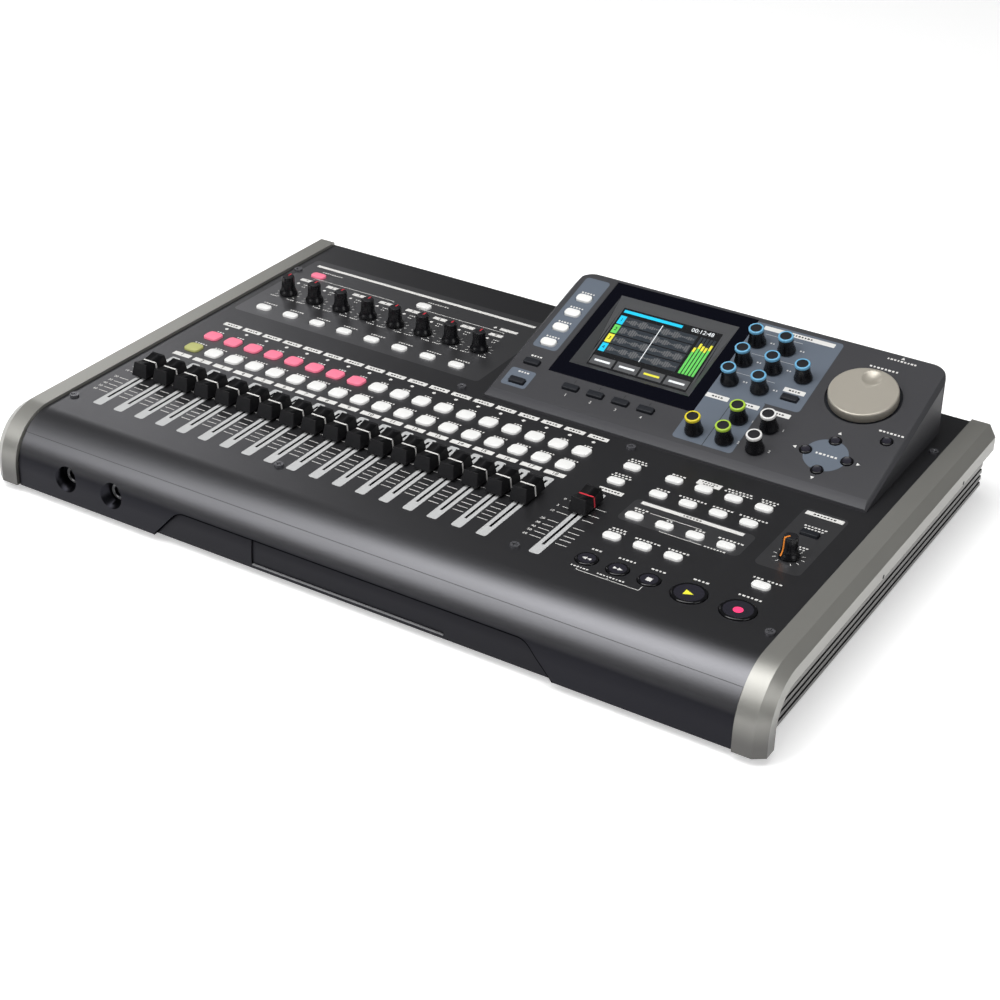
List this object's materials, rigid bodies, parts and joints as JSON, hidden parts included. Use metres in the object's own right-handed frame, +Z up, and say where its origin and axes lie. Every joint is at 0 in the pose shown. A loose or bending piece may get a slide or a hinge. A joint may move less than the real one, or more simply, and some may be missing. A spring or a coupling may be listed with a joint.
{
  "type": "digital multitrack recorder",
  "caption": "Flat desktop recording mixer: a casing with rows of faders, lit keys and trim knobs, and a raised sloping console with a colour display, encoders and a jog wheel.",
  "frame": {"origin": "middle of the footprint's bounding box, on the table under the feet", "axes": "+X to the right as the operator sees it, +Y to the back with the sockets, +Z up"},
  "size_m": [0.5146, 0.3308, 0.093],
  "materials": {
    "painted_steel": "fine textured black paint",
    "panel": "fine textured charcoal",
    "bezel": "satin charcoal, black insert",
    "cheek": "silver-grey satin paint",
    "console": "fine textured charcoal",
    "display": "gloss black frame, lit colour screen",
    "pot_metal": "bare metal",
    "board": "green circuit board",
    "socket": "black, metal contacts",
    "screw": "blackened steel",
    "foot": "matte black rubber",
    "record_key": "translucent, lit pink or white",
    "lit_key": "translucent white",
    "dark_key": "satin black",
    "knob": "satin black, coloured ring or pointer",
    "jog": "champagne-silver satin paint",
    "cap": "satin black, printed line"
  },
  "bodies": {
    "chassis": {"bottom_pan": "painted_steel", "top_panel": "panel", "front_bezel": "bezel", "side_cheeks": "cheek", "console_housing": "console", "display_unit": "display", "slide_pots": "pot_metal", "rotary_controls": "pot_metal", "circuit_boards": "board", "sockets": "socket", "screws": "screw", "feet": "foot"},
    "record_keys": {"record_keys": "record_key"},
    "select_keys": {"select_keys": "lit_key"},
    "input_keys": {"input_keys": "lit_key"},
    "edit_keys": {"edit_keys": "lit_key"},
    "transport_keys": {"transport_keys": "dark_key"},
    "console_keys": {"console_keys": "dark_key"},
    "standby_button": {"standby_button": "dark_key"},
    "monitor_knob": {"monitor_knob": "knob"},
    "jog_wheel": {"jog_wheel": "jog"},
    "master_fader": {"master_fader": "cap"},
    "channel_fader_01": {"channel_fader_01": "cap"},
    "channel_fader_02": {"channel_fader_02": "cap"},
    "channel_fader_03": {"channel_fader_03": "cap"},
    "channel_fader_04": {"channel_fader_04": "cap"},
    "channel_fader_05": {"channel_fader_05": "cap"},
    "channel_fader_06": {"channel_fader_06": "cap"},
    "channel_fader_07": {"channel_fader_07": "cap"},
    "channel_fader_08": {"channel_fader_08": "cap"},
    "channel_fader_09": {"channel_fader_09": "cap"},
    "channel_fader_10": {"channel_fader_10": "cap"},
    "channel_fader_11": {"channel_fader_11": "cap"},
    "channel_fader_12": {"channel_fader_12": "cap"},
    "channel_fader_13": {"channel_fader_13": "cap"},
    "channel_fader_14": {"channel_fader_14": "cap"},
    "channel_fader_15": {"channel_fader_15": "cap"},
    "channel_fader_16": {"channel_fader_16": "cap"},
    "channel_fader_17": {"channel_fader_17": "cap"},
    "channel_fader_18": {"channel_fader_18": "cap"},
    "trim_knob_1": {"trim_knob_1": "knob"},
    "trim_knob_2": {"trim_knob_2": "knob"},
    "trim_knob_3": {"trim_knob_3": "knob"},
    "trim_knob_4": {"trim_knob_4": "knob"},
    "trim_knob_5": {"trim_knob_5": "knob"},
    "trim_knob_6": {"trim_knob_6": "knob"},
    "trim_knob_7": {"trim_knob_7": "knob"},
    "trim_knob_8": {"trim_knob_8": "knob"},
    "eq_encoder_1": {"eq_encoder_1": "knob"},
    "eq_encoder_2": {"eq_encoder_2": "knob"},
    "eq_encoder_3": {"eq_encoder_3": "knob"},
    "eq_encoder_4": {"eq_encoder_4": "knob"},
    "eq_encoder_5": {"eq_encoder_5": "knob"},
    "eq_encoder_6": {"eq_encoder_6": "knob"},
    "eq_encoder_7": {"eq_encoder_7": "knob"},
    "pan_encoder": {"pan_encoder": "knob"},
    "send_encoder_1": {"send_encoder_1": "knob"},
    "send_encoder_2": {"send_encoder_2": "knob"},
    "master_send_encoder_1": {"master_send_encoder_1": "knob"},
    "master_send_encoder_2": {"master_send_encoder_2": "knob"}
  },
  "joints": [
    {"name": "record_keys_press", "type": "slide", "parent": "chassis", "child": "record_keys", "axis": [0, 0, -1], "range_m": [0, 0.0008], "stiffness_N_per_m": 500, "springref_m": -0.001},
    {"name": "select_keys_press", "type": "slide", "parent": "chassis", "child": "select_keys", "axis": [0, 0, -1], "range_m": [0, 0.0008], "stiffness_N_per_m": 500, "springref_m": -0.001},
    {"name": "input_keys_press", "type": "slide", "parent": "chassis", "child": "input_keys", "axis": [0, 0, -1], "range_m": [0, 0.0008], "stiffness_N_per_m": 500, "springref_m": -0.001},
    {"name": "edit_keys_press", "type": "slide", "parent": "chassis", "child": "edit_keys", "axis": [0, 0, -1], "range_m": [0, 0.0008], "stiffness_N_per_m": 500, "springref_m": -0.001},
    {"name": "transport_keys_press", "type": "slide", "parent": "chassis", "child": "transport_keys", "axis": [0, 0, -1], "range_m": [0, 0.0008], "stiffness_N_per_m": 500, "springref_m": -0.001},
    {"name": "console_keys_press", "type": "slide", "parent": "chassis", "child": "console_keys", "axis": [0, 0.2874, -0.9578], "range_m": [0, 0.0008], "stiffness_N_per_m": 500, "springref_m": -0.001},
    {"name": "standby_press", "type": "slide", "parent": "chassis", "child": "standby_button", "axis": [0, -1, 0], "range_m": [0, 0.0015], "stiffness_N_per_m": 300, "springref_m": -0.002},
    {"name": "monitor_turn", "type": "hinge", "parent": "chassis", "child": "monitor_knob", "pos_m": [0.21138, -0.04291, 0.0465], "axis": [0, 0, 1], "range_deg": [-300, 0]},
    {"name": "jog_turn", "type": "hinge", "parent": "chassis", "child": "jog_wheel", "pos_m": [0.18978, 0.10485, 0.07364], "axis": [0, -0.2874, 0.9578], "continuous": true},
    {"name": "master_slide", "type": "slide", "parent": "chassis", "child": "master_fader", "axis": [0, 1, 0], "range_m": [-0.0426, 0.0094]},
    {"name": "channel_slide_01", "type": "slide", "parent": "chassis", "child": "channel_fader_01", "axis": [0, 1, 0], "range_m": [-0.0349, 0.0171]},
    {"name": "channel_slide_02", "type": "slide", "parent": "chassis", "child": "channel_fader_02", "axis": [0, 1, 0], "range_m": [-0.0349, 0.0171]},
    {"name": "channel_slide_03", "type": "slide", "parent": "chassis", "child": "channel_fader_03", "axis": [0, 1, 0], "range_m": [-0.0349, 0.0171]},
    {"name": "channel_slide_04", "type": "slide", "parent": "chassis", "child": "channel_fader_04", "axis": [0, 1, 0], "range_m": [-0.0349, 0.0171]},
    {"name": "channel_slide_05", "type": "slide", "parent": "chassis", "child": "channel_fader_05", "axis": [0, 1, 0], "range_m": [-0.0349, 0.0171]},
    {"name": "channel_slide_06", "type": "slide", "parent": "chassis", "child": "channel_fader_06", "axis": [0, 1, 0], "range_m": [-0.0349, 0.0171]},
    {"name": "channel_slide_07", "type": "slide", "parent": "chassis", "child": "channel_fader_07", "axis": [0, 1, 0], "range_m": [-0.0349, 0.0171]},
    {"name": "channel_slide_08", "type": "slide", "parent": "chassis", "child": "channel_fader_08", "axis": [0, 1, 0], "range_m": [-0.0349, 0.0171]},
    {"name": "channel_slide_09", "type": "slide", "parent": "chassis", "child": "channel_fader_09", "axis": [0, 1, 0], "range_m": [-0.0349, 0.0171]},
    {"name": "channel_slide_10", "type": "slide", "parent": "chassis", "child": "channel_fader_10", "axis": [0, 1, 0], "range_m": [-0.0349, 0.0171]},
    {"name": "channel_slide_11", "type": "slide", "parent": "chassis", "child": "channel_fader_11", "axis": [0, 1, 0], "range_m": [-0.0349, 0.0171]},
    {"name": "channel_slide_12", "type": "slide", "parent": "chassis", "child": "channel_fader_12", "axis": [0, 1, 0], "range_m": [-0.0349, 0.0171]},
    {"name": "channel_slide_13", "type": "slide", "parent": "chassis", "child": "channel_fader_13", "axis": [0, 1, 0], "range_m": [-0.0349, 0.0171]},
    {"name": "channel_slide_14", "type": "slide", "parent": "chassis", "child": "channel_fader_14", "axis": [0, 1, 0], "range_m": [-0.0349, 0.0171]},
    {"name": "channel_slide_15", "type": "slide", "parent": "chassis", "child": "channel_fader_15", "axis": [0, 1, 0], "range_m": [-0.0349, 0.0171]},
    {"name": "channel_slide_16", "type": "slide", "parent": "chassis", "child": "channel_fader_16", "axis": [0, 1, 0], "range_m": [-0.0349, 0.0171]},
    {"name": "channel_slide_17", "type": "slide", "parent": "chassis", "child": "channel_fader_17", "axis": [0, 1, 0], "range_m": [-0.0349, 0.0171]},
    {"name": "channel_slide_18", "type": "slide", "parent": "chassis", "child": "channel_fader_18", "axis": [0, 1, 0], "range_m": [-0.0349, 0.0171]},
    {"name": "trim_turn_1", "type": "hinge", "parent": "chassis", "child": "trim_knob_1", "pos_m": [-0.21618, 0.07739, 0.0465], "axis": [0, 0, 1], "range_deg": [-150, 150]},
    {"name": "trim_turn_2", "type": "hinge", "parent": "chassis", "child": "trim_knob_2", "pos_m": [-0.19432, 0.07739, 0.0465], "axis": [0, 0, 1], "range_deg": [-150, 150]},
    {"name": "trim_turn_3", "type": "hinge", "parent": "chassis", "child": "trim_knob_3", "pos_m": [-0.17246, 0.07739, 0.0465], "axis": [0, 0, 1], "range_deg": [-150, 150]},
    {"name": "trim_turn_4", "type": "hinge", "parent": "chassis", "child": "trim_knob_4", "pos_m": [-0.1506, 0.07739, 0.0465], "axis": [0, 0, 1], "range_deg": [-150, 150]},
    {"name": "trim_turn_5", "type": "hinge", "parent": "chassis", "child": "trim_knob_5", "pos_m": [-0.12874, 0.07739, 0.0465], "axis": [0, 0, 1], "range_deg": [-150, 150]},
    {"name": "trim_turn_6", "type": "hinge", "parent": "chassis", "child": "trim_knob_6", "pos_m": [-0.10688, 0.07739, 0.0465], "axis": [0, 0, 1], "range_deg": [-150, 150]},
    {"name": "trim_turn_7", "type": "hinge", "parent": "chassis", "child": "trim_knob_7", "pos_m": [-0.08502, 0.07739, 0.0465], "axis": [0, 0, 1], "range_deg": [-150, 150]},
    {"name": "trim_turn_8", "type": "hinge", "parent": "chassis", "child": "trim_knob_8", "pos_m": [-0.06316, 0.07739, 0.0465], "axis": [0, 0, 1], "range_deg": [-150, 150]},
    {"name": "eq_encoder_1_turn", "type": "hinge", "parent": "chassis", "child": "eq_encoder_1", "pos_m": [0.10978, 0.12496, 0.07967], "axis": [0, -0.2874, 0.9578], "continuous": true},
    {"name": "eq_encoder_2_turn", "type": "hinge", "parent": "chassis", "child": "eq_encoder_2", "pos_m": [0.12978, 0.12496, 0.07967], "axis": [0, -0.2874, 0.9578], "continuous": true},
    {"name": "eq_encoder_3_turn", "type": "hinge", "parent": "chassis", "child": "eq_encoder_3", "pos_m": [0.10978, 0.10648, 0.07413], "axis": [0, -0.2874, 0.9578], "continuous": true},
    {"name": "eq_encoder_4_turn", "type": "hinge", "parent": "chassis", "child": "eq_encoder_4", "pos_m": [0.12978, 0.10648, 0.07413], "axis": [0, -0.2874, 0.9578], "continuous": true},
    {"name": "eq_encoder_5_turn", "type": "hinge", "parent": "chassis", "child": "eq_encoder_5", "pos_m": [0.14978, 0.10648, 0.07413], "axis": [0, -0.2874, 0.9578], "continuous": true},
    {"name": "eq_encoder_6_turn", "type": "hinge", "parent": "chassis", "child": "eq_encoder_6", "pos_m": [0.10978, 0.08799, 0.06858], "axis": [0, -0.2874, 0.9578], "continuous": true},
    {"name": "eq_encoder_7_turn", "type": "hinge", "parent": "chassis", "child": "eq_encoder_7", "pos_m": [0.12978, 0.08799, 0.06858], "axis": [0, -0.2874, 0.9578], "continuous": true},
    {"name": "pan_encoder_turn", "type": "hinge", "parent": "chassis", "child": "pan_encoder", "pos_m": [0.10978, 0.04221, 0.05484], "axis": [0, -0.2874, 0.9578], "continuous": true},
    {"name": "send_encoder_1_turn", "type": "hinge", "parent": "chassis", "child": "send_encoder_1", "pos_m": [0.12978, 0.06069, 0.06039], "axis": [0, -0.2874, 0.9578], "continuous": true},
    {"name": "send_encoder_2_turn", "type": "hinge", "parent": "chassis", "child": "send_encoder_2", "pos_m": [0.12978, 0.04221, 0.05484], "axis": [0, -0.2874, 0.9578], "continuous": true},
    {"name": "master_send_encoder_1_turn", "type": "hinge", "parent": "chassis", "child": "master_send_encoder_1", "pos_m": [0.14978, 0.06069, 0.06039], "axis": [0, -0.2874, 0.9578], "continuous": true},
    {"name": "master_send_encoder_2_turn", "type": "hinge", "parent": "chassis", "child": "master_send_encoder_2", "pos_m": [0.14978, 0.04221, 0.05484], "axis": [0, -0.2874, 0.9578], "continuous": true}
  ]
}
